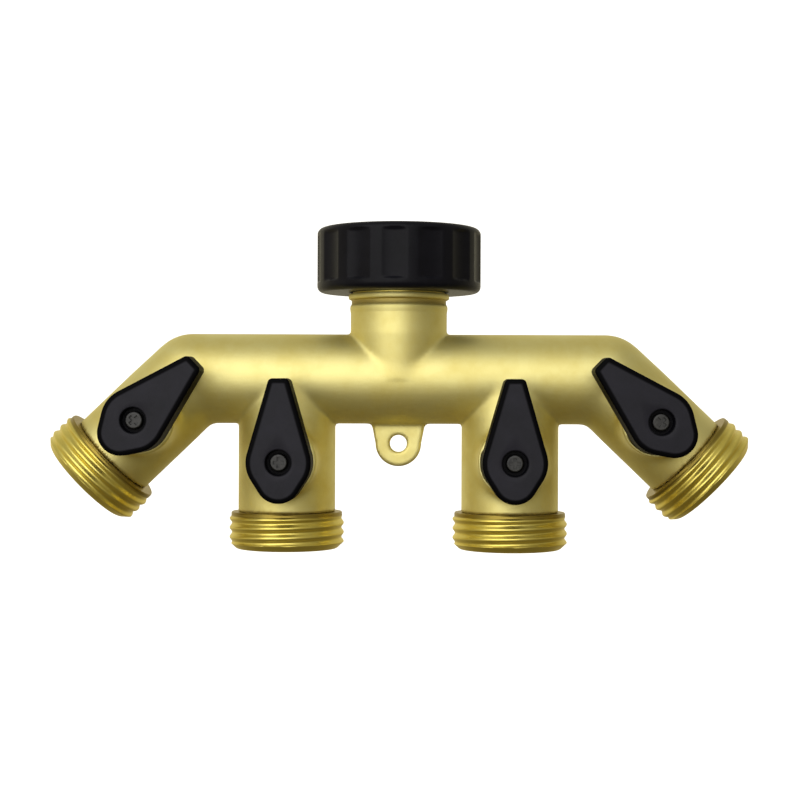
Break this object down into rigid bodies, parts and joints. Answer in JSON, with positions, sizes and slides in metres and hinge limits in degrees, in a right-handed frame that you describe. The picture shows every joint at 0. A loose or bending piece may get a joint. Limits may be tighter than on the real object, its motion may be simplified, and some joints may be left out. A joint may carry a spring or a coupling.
{
  "type": "hose splitter",
  "caption": "Brass garden-hose manifold with a swivel inlet nut and threaded outlets, each with its own quarter-turn lever valve.",
  "frame": {"origin": "centre of the coupling nut's mouth", "axes": "+Z out of the inlet towards the tap, +X along the manifold, valve levers on the -Y side"},
  "size_m": [0.1644, 0.043, 0.0751],
  "materials": {
    "cast_brass": "fine sand-blasted cast brass, pale yellow",
    "machined_brass": "turned brass with a soft shine",
    "plated_brass": "polished chrome plate",
    "black_plastic": "satin moulded plastic, near black",
    "charcoal_plastic": "matt moulded plastic, charcoal",
    "black_rubber": "matt rubber",
    "white_ptfe": "waxy white PTFE",
    "zinc_steel": "zinc-plated steel"
  },
  "bodies": {
    "body": {"manifold_casting": "cast_brass", "inlet_tailpiece": "machined_brass", "inlet_washer": "black_rubber", "outlet_nipple_1": "machined_brass", "nipple_seal_1": "black_rubber", "upstream_seat_1": "white_ptfe", "downstream_seat_1": "white_ptfe", "outlet_nipple_2": "machined_brass", "nipple_seal_2": "black_rubber", "upstream_seat_2": "white_ptfe", "downstream_seat_2": "white_ptfe", "outlet_nipple_3": "machined_brass", "nipple_seal_3": "black_rubber", "upstream_seat_3": "white_ptfe", "downstream_seat_3": "white_ptfe", "outlet_nipple_4": "machined_brass", "nipple_seal_4": "black_rubber", "upstream_seat_4": "white_ptfe", "downstream_seat_4": "white_ptfe"},
    "swivel_nut": {"coupling_nut": "black_plastic"},
    "valve_1": {"ball_1": "plated_brass", "stem_1": "machined_brass", "stem_o_ring_1": "black_rubber", "lever_1": "charcoal_plastic", "lever_screw_1": "zinc_steel"},
    "valve_2": {"ball_2": "plated_brass", "stem_2": "machined_brass", "stem_o_ring_2": "black_rubber", "lever_2": "charcoal_plastic", "lever_screw_2": "zinc_steel"},
    "valve_3": {"ball_3": "plated_brass", "stem_3": "machined_brass", "stem_o_ring_3": "black_rubber", "lever_3": "charcoal_plastic", "lever_screw_3": "zinc_steel"},
    "valve_4": {"ball_4": "plated_brass", "stem_4": "machined_brass", "stem_o_ring_4": "black_rubber", "lever_4": "charcoal_plastic", "lever_screw_4": "zinc_steel"}
  },
  "joints": [
    {"name": "nut_swivel", "type": "hinge", "parent": "body", "child": "swivel_nut", "pos_m": [0, 0, -0.0139], "axis": [0, 0, 1], "continuous": true},
    {"name": "valve_turn_1", "type": "hinge", "parent": "body", "child": "valve_1", "pos_m": [-0.05843, 0, -0.04492], "axis": [0, 1, 0], "range_deg": [0, 90]},
    {"name": "valve_turn_2", "type": "hinge", "parent": "body", "child": "valve_2", "pos_m": [-0.0262, 0, -0.0542], "axis": [0, 1, 0], "range_deg": [0, 90]},
    {"name": "valve_turn_3", "type": "hinge", "parent": "body", "child": "valve_3", "pos_m": [0.0262, 0, -0.0542], "axis": [0, 1, 0], "range_deg": [0, 90]},
    {"name": "valve_turn_4", "type": "hinge", "parent": "body", "child": "valve_4", "pos_m": [0.05843, 0, -0.04492], "axis": [0, 1, 0], "range_deg": [0, 90]}
  ]
}
